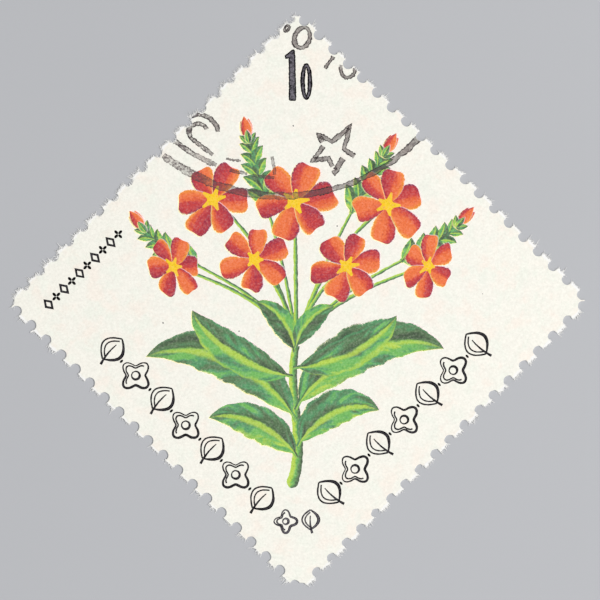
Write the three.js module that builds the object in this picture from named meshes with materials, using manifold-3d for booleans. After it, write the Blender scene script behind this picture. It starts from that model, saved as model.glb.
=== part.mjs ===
// A used postage stamp: one small square sheet of paper, lying flat and turned so that a corner
// points up the page. Millimetres, +Z up, the printed face on top and the gummed face on Z = 0.
//
// The sheet is made as a real one is. A plain square is torn out along four rows of punched
// holes, so half of each hole is left as a round bite, and the paper between two bites is a
// short tooth with a torn tip. The rows are punched one by one and don't meet at the corners.

import * as THREE from 'three';
import { mergeVertices } from 'three/addons/utils/BufferGeometryUtils.js';
import Module from 'manifold-3d';

const wasm = await Module();
wasm.setup();

// The sheet
const SIDE = 35;              // from torn edge to torn edge
const THICKNESS = 0.11;       // paper, its coating and what is left of the gum
const TURN = Math.PI / 4;     // of the square, so that its corners lie on X and Y

// The punched holes
const HOLE_RADIUS = 0.475;
const HOLE_SIDES = 16;
const HOLES_PER_ROW = 20;
const HOLE_WANDER = 0.05;     // how far a pin may sit from its place along the row
const HOLE_WEAR = 0.02;       // how far out of round a clean hole is

// The tear between two holes
const TEAR_STEP = 0.22;       // between two points of the torn edge
const TEAR_DEPTH = 0.07;      // how far a torn tip comes short of the straight edge
const CORNER_LOSS = 0.7;      // what a torn corner is short of, along each of its sides

// Each row is named by the side that it runs along, and is measured from the middle of that
// side, counter-clockwise round the sheet. turn is the way the side faces before the sheet is
// turned, and first is the place of its first hole. inset is how far the holes' centres lie
// inside the torn edge, lean is how far the whole row drifts outwards from its one end to the
// other, and rough is how much more ragged it is than a clean row.
const ROWS = {
  upper_right: { turn: 0, first: -16.55, pitch: 1.740, inset: 0.14, lean: -0.14, rough: 1 },
  upper_left: { turn: Math.PI / 2, first: -16.52, pitch: 1.771, inset: 0.02, lean: 0, rough: 2.2 },
  lower_left: { turn: Math.PI, first: -16.40, pitch: 1.740, inset: 0.19, lean: -0.17, rough: 1 },
  lower_right: { turn: -Math.PI / 2, first: -16.93, pitch: 1.772, inset: 0.16, lean: 0.03, rough: 1.8 },
};

const paper = new THREE.MeshStandardMaterial({ color: 0xf7f5ea, roughness: 0.82, metalness: 0 });

// A repeatable number from -1 to 1 for each pair of whole numbers.
function wander(row, place) {
  const wave = Math.sin(row * 127.1 + place * 311.7) * 43758.5453;
  return 2 * (wave - Math.floor(wave)) - 1;
}

// How far the straight line of a row's torn edge lies from the middle of the sheet.
function edgeAt(row, along) {
  return SIDE / 2 + (row.lean * along) / SIDE;
}

// A flat outline, drawn on the XY plane, as a solid from z = bottom to z = top.
function slab(outline, bottom, top) {
  const geometry = new THREE.ExtrudeGeometry(new THREE.Shape(outline), {
    depth: top - bottom,
    bevelEnabled: false,
  });
  geometry.translate(0, 0, bottom);
  geometry.deleteAttribute('normal');
  geometry.deleteAttribute('uv');
  const merged = mergeVertices(geometry);
  return new wasm.Manifold(new wasm.Mesh({
    numProp: 3,
    vertProperties: Float32Array.from(merged.attributes.position.array),
    triVerts: Uint32Array.from(merged.index.array),
  }));
}

// The torn square before it shows any bite. Each side starts and ends short of its corner, and
// the tear goes straight across from there to the next side.
function tornOutline() {
  const outline = [];
  const middle = new THREE.Vector2();
  Object.values(ROWS).forEach((row, number) => {
    const run = SIDE - 2 * CORNER_LOSS;
    const steps = Math.round(run / TEAR_STEP);
    for (let step = 0; step <= steps; step += 1) {
      const along = -run / 2 + (run * step) / steps;
      const short = (TEAR_DEPTH * row.rough * (1 + wander(number, step))) / 2;
      const point = new THREE.Vector2(edgeAt(row, along) - short, along);
      outline.push(point.rotateAround(middle, row.turn));
    }
  });
  return outline;
}

// One punched hole of a row, a little out of round, as a pin that goes right through the sheet.
function pin(row, number, place) {
  const along = row.first + row.pitch * place + HOLE_WANDER * wander(number + 10, place);
  const centre = new THREE.Vector2(edgeAt(row, along) - row.inset, along);
  const rim = [];
  for (let side = 0; side < HOLE_SIDES; side += 1) {
    const angle = (2 * Math.PI * side) / HOLE_SIDES;
    const wear = HOLE_WEAR * row.rough * wander(number + 20, place * HOLE_SIDES + side);
    const radius = HOLE_RADIUS + wear;
    rim.push(new THREE.Vector2(
      centre.x + radius * Math.cos(angle),
      centre.y + radius * Math.sin(angle),
    ).rotateAround(new THREE.Vector2(), row.turn));
  }
  return slab(rim, -THICKNESS, 2 * THICKNESS);
}

// The sheet with all its bites. A scrap that two holes cut free at a corner falls off.
function perforatedSheet() {
  let sheet = slab(tornOutline(), 0, THICKNESS);
  Object.values(ROWS).forEach((row, number) => {
    for (let place = 0; place < HOLES_PER_ROW; place += 1) {
      sheet = sheet.subtract(pin(row, number, place));
    }
  });
  const pieces = sheet.decompose();
  return pieces.reduce((kept, piece) => (piece.volume() > kept.volume() ? piece : kept));
}

function meshOf(solid, name, material) {
  const { vertProperties, triVerts } = solid.getMesh();
  const geometry = new THREE.BufferGeometry();
  geometry.setAttribute('position', new THREE.BufferAttribute(vertProperties, 3));
  geometry.setIndex(new THREE.BufferAttribute(triVerts, 1));
  geometry.computeVertexNormals();
  const mesh = new THREE.Mesh(geometry, material);
  mesh.name = name;
  return mesh;
}

// The sheet lies with the middle of its outer box over the origin.
const sheet = meshOf(perforatedSheet(), 'stamp_paper', paper);
sheet.rotation.z = TURN;
sheet.updateMatrixWorld(true);
const middle = new THREE.Box3().setFromObject(sheet, true).getCenter(new THREE.Vector3());
sheet.position.set(-middle.x, -middle.y, 0);

const group = new THREE.Group();
group.add(sheet);

export default group;
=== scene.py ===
"""A used postage stamp: its punched and torn sheet, the inks printed on it and its postmark."""

import math
import random

import bmesh
import bpy
from mathutils import Matrix, Vector, noise


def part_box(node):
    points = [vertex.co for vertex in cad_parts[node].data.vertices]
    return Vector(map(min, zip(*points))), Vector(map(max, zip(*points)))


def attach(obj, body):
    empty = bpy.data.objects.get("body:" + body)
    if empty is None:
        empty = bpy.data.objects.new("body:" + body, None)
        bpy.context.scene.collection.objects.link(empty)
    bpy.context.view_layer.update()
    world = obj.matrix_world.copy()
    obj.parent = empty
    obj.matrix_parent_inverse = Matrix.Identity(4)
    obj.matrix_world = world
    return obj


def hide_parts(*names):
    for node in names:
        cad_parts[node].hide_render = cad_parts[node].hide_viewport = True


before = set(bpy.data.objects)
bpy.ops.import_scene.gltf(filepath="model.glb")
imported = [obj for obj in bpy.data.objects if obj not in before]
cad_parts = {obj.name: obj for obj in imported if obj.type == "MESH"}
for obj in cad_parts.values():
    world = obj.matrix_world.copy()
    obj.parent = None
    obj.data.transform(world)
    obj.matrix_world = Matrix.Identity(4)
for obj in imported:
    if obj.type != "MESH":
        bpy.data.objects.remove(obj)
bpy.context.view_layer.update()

bl_info = {
    "name": "Perforated Stamp",
    "version": (1, 0, 0),
    "blender": (4, 5, 0),
    "location": "3D View > Sidebar > Stamp",
    "description": "Makes a used postage stamp round its packed sheet of paper",
    "category": "Object",
}

MM = 0.001
NODE = "stamp_paper"
BODY = "root"

# Blender's vector noise is shifted by a seed, which is the time of day until one is set.
NOISE_SEED = 1

# Where the draws of each maker start, so that every run draws the same.
SEEDS = {"fibres": 11, "leaves": 5, "sprigs": 8, "blooms": 100, "buds": 31, "specks": 23}

# Heights over the surface that the sheet lies on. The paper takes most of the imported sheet's
# thickness. The inks are thin films in what is left, each with its foot just inside the paper.
SHEET_LOW, SHEET_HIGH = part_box(NODE)
PAPER_SHARE = 0.80
PAPER_TOP = SHEET_LOW.z + PAPER_SHARE * (SHEET_HIGH.z - SHEET_LOW.z)
FILM_FOOT = PAPER_TOP - 0.003 * MM

# Films that cross lie on levels of their own, each under half a micron over the one before. A
# shape in full colour takes three levels, one for each plate. Leaves that overlap have ranks,
# and the fringes of all of them lie under the stems. A bloom takes the levels of three shapes:
# every other petal, the rest and the eye. So do the petals of a bud, with its cup over them.
PLATES = 3
LEAF_RANKS = 4
LEAF_FRINGES = 1
LINE_LEVEL = 6
STEM_LEVEL = LEAF_FRINGES + 2 * LEAF_RANKS
LEAF_LEVEL = 21
BLOOM_LEVEL = 25
BLOOM_LEVELS = 3 * PLATES
POSTMARK_LEVEL = 56
TOP_LEVEL = 64

# The sides of the sheet face these ways, and reach this far out.
DIAGONALS = {
    "upper_right": Vector((1, 1)).normalized(),
    "upper_left": Vector((-1, 1)).normalized(),
    "lower_left": Vector((-1, -1)).normalized(),
    "lower_right": Vector((1, -1)).normalized(),
}
REACHES = {
    side: max(facing.dot(vert.co.xy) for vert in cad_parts[NODE].data.vertices)
    for side, facing in DIAGONALS.items()
}


def level(number):
    """The height of one of the ink levels, counted from the paper up."""
    return PAPER_TOP + (SHEET_HIGH.z - PAPER_TOP) * number / TOP_LEVEL


def at(x, y):
    """A place on the sheet, in millimetres from its middle."""
    return Vector((x * MM, y * MM))


def heading(degrees):
    """The direction at that angle, counter-clockwise from +X."""
    return Vector((math.cos(math.radians(degrees)), math.sin(math.radians(degrees))))


def left_of(way):
    """The direction a quarter turn to the left of another."""
    return Vector((-way.y, way.x))


def on_band(out, along, side):
    """A place out towards a side of the sheet, and along it counter-clockwise, in millimetres."""
    facing = DIAGONALS[side]
    return facing * (out * MM) + left_of(facing) * (along * MM)


def depth_inside(place):
    """How far a place lies inside the nearest torn edge of the sheet, and which side that is."""
    return min((reach - DIAGONALS[side].dot(place.xy), side) for side, reach in REACHES.items())


def srgb(red, green, blue):
    """A colour given as 0 to 255 on screen, as the linear numbers that shaders use."""
    parts = [c / 255 for c in (red, green, blue)]
    return tuple(p / 12.92 if p <= 0.04045 else ((p + 0.055) / 1.055) ** 2.4 for p in parts)


# ------------------------------------------------------------------------------- settings


def length(name, default, about, least=0.0):
    """A length that the user can set, given in millimetres."""
    return bpy.props.FloatProperty(
        name=name, description=about, default=default * MM, min=least * MM, precision=5,
        unit="LENGTH",
    )


def colour(name, default, about):
    """A colour that the user can set, given as it shows on screen."""
    return bpy.props.FloatVectorProperty(
        name=name, description=about, default=srgb(*default), min=0.0, max=1.0, subtype="COLOR"
    )


class SheetSettings(bpy.types.PropertyGroup):
    """The paper."""

    face: colour("Face", (250, 247, 236), "The coated face of the paper")
    cool: colour("Cool mottle", (245, 246, 234), "The cooler patches of the face")
    warm: colour("Warm mottle", (252, 243, 231), "The warmer patches of the face")
    back: colour("Back", (241, 235, 216), "The gummed back of the paper")
    torn: colour("Torn edge", (252, 251, 248), "The loose fibres of the edges")
    tear: length("Tear", 0.045, "How far a torn edge wanders")
    fibre: length("Fibre", 0.24, "The usual length of a torn fibre")
    per_millimetre: bpy.props.IntProperty(
        name="Fibres", description="Torn fibres on each millimetre of tear", default=34, min=0
    )


class InkSettings(bpy.types.PropertyGroup):
    """The printing inks and the screen that they are printed through."""

    screen: length("Screen", 0.15, "The distance between two cells of the printing screen")
    notch: length("Notch", 0.03, "How far the screen's cells cut into the edge of a stem")
    slip: length("Slip", 0.085, "How far the yellow and the pink plate are out of place")
    line: length("Line", 0.073, "Half the width of a thin engraved line")
    orange: colour("Orange", (246, 120, 64), "The light side of a petal")
    flame: colour("Flame", (231, 91, 53), "Between the light and the shaded side of a petal")
    crimson: colour("Crimson", (207, 63, 62), "The shaded side of a petal")
    wine: colour("Wine", (176, 39, 59), "The darkest shade of a petal")
    mauve: colour("Mauve", (134, 48, 90), "The shaded rim of a petal")
    yellow: colour("Yellow", (255, 212, 28), "The eye of a bloom")
    lime: colour("Lime", (188, 218, 80), "The lit ridge of a leaf")
    green: colour("Green", (118, 190, 96), "The light half of a leaf")
    sea: colour("Sea green", (90, 160, 108), "The turning edge of a leaf")
    moss: colour("Moss", (92, 124, 84), "The shaded half of a leaf")
    slate: colour("Slate", (68, 88, 64), "The darkest shade of a leaf")
    bare: colour("Bare", (250, 242, 230), "Paper that shows between the dots of the screen")
    shade: colour("Shade", (62, 44, 62), "Dots of the black plate")
    black: colour("Line ink", (18, 16, 18), "The edge of a printed line")
    grey: colour("Line core", (98, 94, 101), "The middle of a wide printed line")
    fringe: colour("Fringe", (252, 240, 168), "Yellow ink that shows beside a shape")
    blush: colour("Blush", (242, 218, 228), "Pink ink that shows beside a shape")


class PostmarkSettings(bpy.types.PropertyGroup):
    """The stamped cancel."""

    ink: colour("Ink", (92, 80, 82), "The stamping ink")
    edge: colour("Edge", (44, 36, 36), "Where the ink is squeezed out beside a line")
    rim: length("Rim", 0.085, "How wide the squeezed-out ink is")
    ring: length("Ring", 16.29, "The radius of the cancel's outer ring")
    line: length("Line", 0.56, "The width of the outer ring's line")


class StageSettings(bpy.types.PropertyGroup):
    """The floor, the light and the camera."""

    floor: colour("Floor", (190, 191, 194), "The plain floor")
    view_width: length("View", 50.84, "How wide a strip the camera sees")
    view_x: length("View X", 0.127, "How far right of the sheet's middle the view is", -25)
    view_y: length("View Y", 0.055, "How far above the sheet's middle the view is", -25)
    roll: bpy.props.FloatProperty(
        name="Roll", description="How far the sheet lies turned in the view",
        default=math.radians(0.17), subtype="ANGLE",
    )


class StampSettings(bpy.types.PropertyGroup):
    """All that a user can set."""

    sheet: bpy.props.PointerProperty(type=SheetSettings)
    ink: bpy.props.PointerProperty(type=InkSettings)
    postmark: bpy.props.PointerProperty(type=PostmarkSettings)
    stage: bpy.props.PointerProperty(type=StageSettings)


def settings():
    return bpy.context.scene.stamp


# ------------------------------------------------------------------------------- finishes


class Value:
    """A number that varies over a surface. Arithmetic on it adds Math nodes."""

    def __init__(self, finish, socket):
        self.finish = finish
        self.socket = socket

    def _math(self, operation, *values):
        return self.finish.node("ShaderNodeMath", {"operation": operation}, values)

    def __add__(self, other):
        return self._math("ADD", self, other)

    def __sub__(self, other):
        return self._math("SUBTRACT", self, other)

    def __rsub__(self, other):
        return self._math("SUBTRACT", other, self)

    def __mul__(self, other):
        return self._math("MULTIPLY", self, other)

    def __lt__(self, other):
        return self._math("LESS_THAN", self, other)

    __radd__ = __add__
    __rmul__ = __mul__

    def __abs__(self):
        return self._math("ABSOLUTE", self)

    def sine(self):
        return self._math("SINE", self)

    def most(self, other):
        return self._math("MAXIMUM", self, other)


# The roughness and the specular level of the coloured inks.
INK_SHEEN = (0.58, 0.3)

# What a film's points carry: how far along their shape they are, how far across it, from -1 to
# 1, and the shape's tone.
POINT_VALUES = ("along", "across", "tone")

# A shape's tone is from 0 to 1. These mark the fringes that two plates leave beside it: which
# way the plate slips, in degrees, and the tone. The yellow plate's is first, then the pink's.
FRINGES = ((215, -1.0), (35, -2.0))
ANY_FRINGE = -0.5
PINK_FRINGE = -1.5


class Finish:
    """A material in the making, with the one way to add a node to it."""

    def __init__(self, name, roughness, specular):
        self.material = bpy.data.materials.new(name)
        self.material.use_nodes = True
        self.tree = self.material.node_tree
        self.shader = self.tree.nodes["Principled BSDF"]
        self.shader.inputs["Roughness"].default_value = roughness
        self.shader.inputs["Specular IOR Level"].default_value = specular
        self.place = self.node("ShaderNodeTexCoord", output="Object")

    def node(self, kind, setup=None, inputs=(), output=0):
        """Adds a node. What is in setup is set first, then its inputs by place or by name."""
        node = self.tree.nodes.new(kind)
        for key, value in (setup or {}).items():
            if key == "stops":
                self._stops(node.color_ramp, value)
            else:
                setattr(node, key, value)
        named = inputs.items() if isinstance(inputs, dict) else enumerate(inputs)
        for key, value in named:
            self.feed(node.inputs[key], value)
        return Value(self, node.outputs[output])

    def _stops(self, ramp, stops):
        while len(ramp.elements) < len(stops):
            ramp.elements.new(0.5)
        for element, (position, tint) in zip(ramp.elements, stops):
            element.position = position
            element.color = (*tint, 1.0)

    def feed(self, socket, value):
        if isinstance(value, Value):
            self.tree.links.new(value.socket, socket)
        elif socket.type == "RGBA":
            socket.default_value = (*value, 1.0)
        else:
            socket.default_value = value

    def attribute(self, name):
        """One of the numbers that a film's points carry."""
        return self.node("ShaderNodeAttribute", {"attribute_name": name}, output="Fac")

    def noise(self, size, detail=2.0, place=None, rough=0.5):
        """Cloudy noise from 0 to 1, with patches of about the given size."""
        inputs = {"Scale": 1 / size, "Detail": detail, "Roughness": rough,
                  "Vector": place or self.place}
        return self.node("ShaderNodeTexNoise", None, inputs)

    def joined(self, x, y, z):
        """A vector from three numbers."""
        return self.node("ShaderNodeCombineXYZ", None, [x, y, z])

    def part(self, vector, axis):
        """The X, Y or Z of a vector."""
        return self.node("ShaderNodeSeparateXYZ", None, [vector], axis)

    def spread(self, value, low, high, to_low=0.0, to_high=1.0):
        """Stretches a range of a value smoothly over another, and keeps it inside that."""
        setup = {"clamp": True, "interpolation_type": "SMOOTHSTEP"}
        return self.node("ShaderNodeMapRange", setup, [value, low, high, to_low, to_high])

    def ramp(self, value, stops):
        return self.node("ShaderNodeValToRGB", {"stops": stops}, [value], "Color")

    def blend(self, share, first, second):
        """The first colour, with the second mixed over it by a share from 0 to 1."""
        inputs = {0: share, 6: first, 7: second}
        return self.node("ShaderNodeMix", {"data_type": "RGBA"}, inputs, 2)

    def darken(self, tint, amount):
        """A colour times a number."""
        return self.node("ShaderNodeVectorMath", {"operation": "SCALE"}, {0: tint, 3: amount})

    def stretched(self, turn, x, y):
        """Object coordinates turned about Z and scaled, for a pattern with a direction."""
        inputs = {"Vector": self.place, "Rotation": (0, 0, turn), "Scale": (x, y, 1)}
        return self.node("ShaderNodeMapping", None, inputs)

    def bump(self, height, distance, strength):
        inputs = {"Height": height, "Distance": distance, "Strength": strength}
        self.feed(self.shader.inputs["Normal"], self.node("ShaderNodeBump", None, inputs))

    def paint(self, tint):
        self.feed(self.shader.inputs["Base Color"], tint)
        return self.material

    def print(self, tint, tone, edge=0.92):
        """Paints a printed shape. The printing screen leaves dots of bare paper and of the black
        plate in it, and frays it from edge outwards, as a share of its half width. A fringe is
        paler and partly clear."""
        ink = settings().ink
        turns = math.tau / ink.screen
        cells = self.stretched(math.radians(45), turns, turns)
        lattice = self.part(cells, "X").sine() * self.part(cells, "Y").sine()
        grain = self.noise(0.16 * MM, 2.0, rough=0.7) + lattice * 0.03
        tint = self.blend(self.spread(grain, 0.42, 0.80, 0.0, 0.15), tint, ink.bare)
        tint = self.blend(self.spread(grain, 0.20, 0.54, 0.30, 0.0), tint, ink.shade)
        pale = self.blend(tone < PINK_FRINGE, ink.fringe, ink.blush)
        frayed = abs(self.attribute("across")) + (grain - 0.5) * 0.25
        cover = self.spread(frayed, edge, 1.04, 1.0, 0.0)
        self.feed(self.shader.inputs["Alpha"], cover * (1 - 0.4 * (tone < ANY_FRINGE)))
        return self.paint(self.blend(tone < ANY_FRINGE, tint, pale))


# The bare rim of the face: how far it wanders, and from where to where it whitens, measured
# outwards from the torn edge.
RIM_WANDER = 0.35 * MM
RIM_INNER, RIM_OUTER = -0.30 * MM, -0.12 * MM


def paper_face():
    sheet = settings().sheet
    finish = Finish("paper_face", 0.62, 0.3)
    cloud = finish.noise(1.5 * MM, 5.0, rough=0.62)
    tint = finish.blend(finish.spread(cloud, 0.44, 0.66, 0.0, 0.9), sheet.face, sheet.cool)
    blush = finish.noise(2.1 * MM, 4.0, finish.stretched(1.0, 1.0, 1.1), 0.6)
    tint = finish.blend(finish.spread(blush, 0.48, 0.68, 0.0, 0.9), tint, sheet.warm)
    fine = finish.noise(0.18 * MM, 3.0, rough=0.7)
    tint = finish.darken(tint, 0.998 + (fine - 0.5) * 0.38)
    x, y = (finish.part(finish.place, axis) for axis in "XY")
    outside = [x * facing.x + y * facing.y - REACHES[side] for side, facing in DIAGONALS.items()]
    edge = outside[0].most(outside[1]).most(outside[2].most(outside[3]))
    ragged = edge + (finish.noise(0.22 * MM, 2.0) - 0.5) * RIM_WANDER
    tint = finish.blend(finish.spread(ragged, RIM_INNER, RIM_OUTER), tint, sheet.torn)
    fibres = finish.noise(0.16 * MM, 5.0, rough=0.62)
    strands = finish.noise(0.09 * MM, 2.0, finish.stretched(math.radians(30), 1.0, 0.25))
    finish.bump(fibres * 0.6 + strands * 0.4, 0.003 * MM, 0.4)
    finish.feed(finish.shader.inputs["Roughness"], finish.spread(cloud, 0.3, 0.7, 0.56, 0.68))
    return finish.paint(tint)


def paper_back():
    sheet = settings().sheet
    finish = Finish("paper_back", 0.5, 0.35)
    gum = finish.noise(3.4 * MM, 5.0, rough=0.6)
    ripple = finish.noise(0.35 * MM, 3.0, finish.stretched(0.0, 1.0, 0.2))
    tint = finish.blend(finish.spread(gum, 0.32, 0.78, 0.0, 0.7), sheet.back, sheet.face)
    tint = finish.darken(tint, 0.98 + (ripple - 0.5) * 0.06)
    finish.feed(finish.shader.inputs["Roughness"], finish.spread(gum, 0.40, 0.60, 0.34, 0.70))
    finish.bump(gum * 0.7 + ripple * 0.3, 0.006 * MM, 0.5)
    return finish.paint(tint)


def torn_paper():
    sheet = settings().sheet
    finish = Finish("torn_paper", 0.9, 0.15)
    fluff = finish.noise(0.07 * MM, 3.0, rough=0.7)
    # Painted shade: the torn paper is greyer where its bump sinks, in the hollows between the
    # fibres.
    shade = tuple(0.80 * part for part in sheet.torn)
    finish.bump(fluff, 0.02 * MM, 0.8)
    return finish.paint(finish.blend(finish.spread(fluff, 0.3, 0.6), shade, sheet.torn))


def petal_ink():
    ink = settings().ink
    finish = Finish("petal_ink", *INK_SHEEN)
    along, across, tone = (finish.attribute(name) for name in POINT_VALUES)
    brush = finish.noise(0.20 * MM, 3.0, rough=0.7) - 0.5
    broad = finish.noise(0.90 * MM, 2.0) - 0.5
    rays = finish.noise(1.0, 3.0, finish.joined(along * 1.8, across * 5.0, tone * 17)) - 0.5
    side = across * 0.62 + 0.5 + brush * 0.45 + broad * 0.4 + rays * 0.5 + (tone - 0.5) * 0.7
    tint = finish.ramp(side, [(0.28, ink.orange), (0.50, ink.flame), (0.64, ink.crimson),
                              (1.0, ink.crimson)])
    depth = finish.spread(side + broad * 0.8 + rays * 0.5, 0.75, 1.25, 0.0, 0.7)
    tint = finish.blend(depth, tint, ink.wine)
    specks = finish.noise(0.18 * MM, 2.0, finish.stretched(0.7, 1.0, 1.0)) + side * 0.22
    tint = finish.blend(finish.spread(specks, 0.64, 0.90, 0.0, 0.3), tint, ink.mauve)
    rim = finish.spread(across + brush * 0.6, 0.84, 0.95, 0.0, 0.85)
    tint = finish.blend(rim, tint, ink.mauve)
    streak = finish.spread(along + abs(across) * 0.25 + rays * 0.5, 0.14, 0.50, 0.7, 0.0)
    tint = finish.blend(streak, tint, ink.crimson)
    throat = finish.spread(along + abs(across) * 0.10 + rays * 0.35, 0.10, 0.24, 1.0, 0.0)
    tint = finish.blend(throat, tint, ink.yellow)
    glow = finish.spread(across - brush * 0.6, -1.05, -0.60, 0.35, 0.0)
    tint = finish.blend(glow, tint, ink.yellow)
    return finish.print(tint, tone)


def eye_ink():
    ink = settings().ink
    finish = Finish("eye_ink", *INK_SHEEN)
    tone = finish.attribute("tone")
    spots = finish.noise(0.16 * MM, 2.0, rough=0.7)
    tint = finish.blend(finish.spread(spots + tone * 0.3, 0.60, 0.90), ink.yellow, ink.flame)
    return finish.print(tint, tone)


def leaf_ink():
    ink = settings().ink
    finish = Finish("leaf_ink", *INK_SHEEN)
    along, across, tone = (finish.attribute(name) for name in POINT_VALUES)
    brush = finish.noise(0.30 * MM, 2.0, rough=0.6) - 0.5
    flow = along * 7.0 - abs(across) * 1.7
    strokes = finish.noise(1.0, 2.0, finish.joined(flow, across * 0.8, tone * 31)) - 0.5
    patch = finish.noise(1.0, 1.0, finish.joined(along * 2.4, across * 1.2, tone * 53)) - 0.5
    mood = 0.5 + strokes * 2.0 + brush * 0.4 + patch * 1.5
    dark = finish.ramp(mood, [(0.14, ink.slate), (0.50, ink.moss), (0.82, ink.sea),
                              (1.0, ink.green)])
    light = finish.ramp(mood, [(0.05, ink.moss), (0.28, ink.sea), (0.46, ink.green),
                               (0.66, ink.green), (0.95, ink.lime)])
    seam = across + brush * 0.16 + strokes * 0.30
    tint = finish.blend(finish.spread(seam, -0.16, 0.06), dark, light)
    ridge = finish.spread(abs(seam - 0.16) + patch * 0.3, 0.03, 0.24, 0.85, 0.0)
    tint = finish.blend(ridge, tint, ink.lime)
    tint = finish.blend(finish.spread(abs(seam + 0.07), 0.02, 0.12, 0.6, 0.0), tint, ink.slate)
    rims = ((0.80, 1.05, 0.0, 0.6, ink.lime), (-1.0, -0.76, 0.7, 0.0, ink.sea))
    for *span, rim_tint in rims:
        rim = finish.spread(across + brush * 0.2 + patch * 0.9, *span)
        tint = finish.blend(rim, tint, rim_tint)
    tip = finish.spread(along + brush * 0.3, 0.82, 1.0, 0.0, 0.7)
    tint = finish.blend(tip, tint, ink.moss)
    return finish.print(tint, tone, 0.94)


def stem_ink():
    ink = settings().ink
    finish = Finish("stem_ink", *INK_SHEEN)
    across = finish.attribute("across")
    brush = finish.noise(0.24 * MM, 2.0) - 0.5
    side = 0.5 - across * 0.5 + brush * 0.5
    tint = finish.ramp(side, [(0.0, ink.lime), (0.28, ink.lime), (0.50, ink.green),
                              (0.78, ink.moss), (1.0, ink.slate)])
    return finish.print(tint, finish.attribute("tone"))


def line_ink():
    """Near-black ink that pools along the edges of a line and is thinner in its middle."""
    ink = settings().ink
    finish = Finish("line_ink", 0.7, 0.02)
    across, tone = finish.attribute("across"), finish.attribute("tone")
    worn = finish.noise(0.17 * MM, 2.0, rough=0.7) - 0.5
    core = finish.spread(abs(across) + worn * 0.5, 0.38, 0.62, 1.0, 0.0) * tone
    tint = finish.blend(core, ink.black, ink.grey)
    return finish.paint(finish.darken(tint, 1.0 + worn * 5.0))


# Where the postmark took less ink: it was starved at its left end, and weak where its rings
# cross the blooms. Each of these fades out from the first place to the second.
STARVED_X = (-9.5 * MM, -6.0 * MM)
WEAK_X, WEAK_Y = (0.0, 2.5 * MM), (12.4 * MM, 13.2 * MM)


def postmark_ink():
    """Thin stamping ink that the print shows through, with dark squeezed-out edges."""
    mark = settings().postmark
    finish = Finish("postmark_ink", 0.6, 0.25)
    across, half = finish.attribute("across"), finish.attribute("tone")
    blotch = finish.noise(0.17 * MM, 3.0, rough=0.7) - 0.5
    worn = finish.noise(0.8 * MM, 3.0) - 0.5
    nibbled = finish.noise(0.15 * MM, 2.0, rough=0.7) - 0.5
    broken = finish.noise(0.40 * MM, 3.0, rough=0.6)
    inside = (1 - abs(across)) * half * MM + nibbled * (0.28 * MM)
    rim = finish.spread(inside, 0.8 * mark.rim, 1.3 * mark.rim, 1.0, 0.0)
    x, y = (finish.part(finish.place, axis) for axis in "XY")
    weak = finish.spread(x, *WEAK_X, 1.0, 0.0) * finish.spread(y, *WEAK_Y, 1.0, 0.0)
    rim = rim * finish.spread(broken, 0.32, 0.50) * (1 - 0.7 * weak)
    tint = finish.blend(rim, mark.ink, mark.edge)
    starved = finish.spread(x, *STARVED_X, 2.3, 0.0) * (1 - 0.4 * weak)
    cover = 0.66 - 0.11 * weak + blotch * (starved + 0.7) + worn * 0.40 + rim * 0.85
    cover = finish.spread(cover, 0.0, 1.1, 0.0, 0.98) * finish.spread(inside, 0.0, 0.02 * MM)
    finish.feed(finish.shader.inputs["Alpha"], cover)
    return finish.paint(tint)


def floor_board():
    finish = Finish("floor_board", 0.8, 0.2)
    cloud = finish.noise(30 * MM, 3.0)
    return finish.paint(finish.darken(settings().stage.floor, 0.98 + (cloud - 0.5) * 0.03))


FINISHES = {
    finish.__name__: finish
    for finish in (paper_face, paper_back, torn_paper, petal_ink, eye_ink, leaf_ink, stem_ink,
                   line_ink, postmark_ink, floor_board)
}


def finish_named(name):
    """The material of that name, made when it is first asked for."""
    return bpy.data.materials.get(name) or FINISHES[name]()


# ------------------------------------------------------------------------------- pieces

# How near to a point of a line, as a share of the way to the next, counts as on it.
NEAR = 1e-3

# A corner of a line is widened by no more than one over this.
MITRE_LEAST = 0.6

# How far apart the points of a drawn stroke lie.
STROKE_STEP = 0.12 * MM

# Points that are nearer than these are one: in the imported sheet, and in a film.
SHEET_SEAM, FILM_SEAM = 1e-7, 2e-8


def put(bm, name, finishes):
    """Makes a finished bmesh a piece of the stamp that rides on its one body."""
    mesh = bpy.data.meshes.new(name)
    bm.to_mesh(mesh)
    bm.free()
    for finish in finishes:
        mesh.materials.append(finish_named(finish))
    piece = bpy.data.objects.new(name, mesh)
    bpy.context.collection.objects.link(piece)
    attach(piece, BODY)
    return piece


def curve(*points):
    """A smooth line that leaves the first point towards the second, and so on to the last."""

    def line(a):
        row = list(points)
        while len(row) > 2:
            row = [here.lerp(there, a) for here, there in zip(row, row[1:])]
        return row[0].lerp(row[1], a), (row[1] - row[0]).normalized(), 1.0

    return line


def bow(start, end, sag):
    """A curve from start to end that swells to its left by sag."""
    left = left_of(end - start).normalized()
    return curve(start, start.lerp(end, 0.5) + left * 2 * sag, end)


def through(points, closed=False):
    """A line from point to point. At each it looks halfway between its two runs, and asks for
    the extra width of a mitred corner."""
    runs = len(points) if closed else len(points) - 1

    def run(number):
        return (points[(number + 1) % len(points)] - points[number % len(points)]).normalized()

    def line(a):
        place = a * runs
        first = min(int(place + NEAR / 10), runs - 1)
        part = min(max(place - first, 0.0), 1.0)
        middle = points[first].lerp(points[(first + 1) % len(points)], part)
        before, after = run(first), run(first)
        if part < NEAR and (closed or first > 0):
            before = run(first - 1)
        if part > 1 - NEAR and (closed or first < runs - 1):
            after = run(first + 1)
        ahead = (before + after).normalized()
        return middle, ahead, 1 / max(ahead.dot(after), MITRE_LEAST)

    return line


def dense(points, closed=False):
    """The same run of straight lines, with points on it as near to each other as a stroke's."""
    ends = points[1:] + points[:1] if closed else points[1:]
    row = []
    for here, there in zip(points, ends):
        count = max(math.ceil((there - here).length / STROKE_STEP), 1)
        row += [here.lerp(there, n / count) for n in range(count)]
    return row if closed else row + [points[-1]]


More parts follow.
